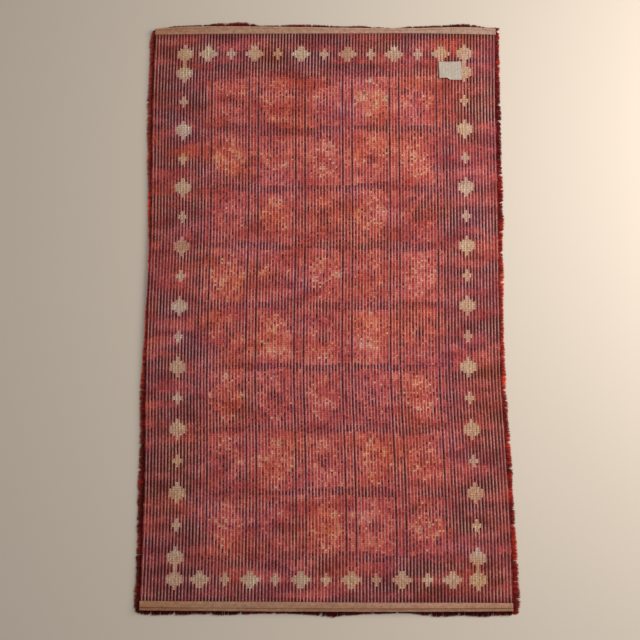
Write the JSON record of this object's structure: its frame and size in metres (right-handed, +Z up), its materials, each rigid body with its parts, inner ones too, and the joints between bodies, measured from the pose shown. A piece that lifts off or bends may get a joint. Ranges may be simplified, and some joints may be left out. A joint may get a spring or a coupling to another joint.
{
  "type": "wool rug",
  "caption": "Rectangular long-pile wool rug lying face down, ribbed woven back up, with a pile rim, a binding tape over each end and a small blank label.",
  "frame": {"origin": "on the floor, under the middle of the rectangle that the rug and its pile cover", "axes": "+Y along the rug from its foot to its head, +Z up out of the woven back, +X to the right seen from above with the head away"},
  "size_m": [1.45, 2.336, 0.0228],
  "materials": {
    "wool": "dull long-pile wool, ribbed on the back",
    "tape": "plain-woven cotton tape",
    "label": "fine off-white woven cloth, a little creased"
  },
  "bodies": {
    "root": {"woven_rug": "wool", "head_tape": "tape", "foot_tape": "tape", "sewn_label": "label"}
  },
  "joints": []
}
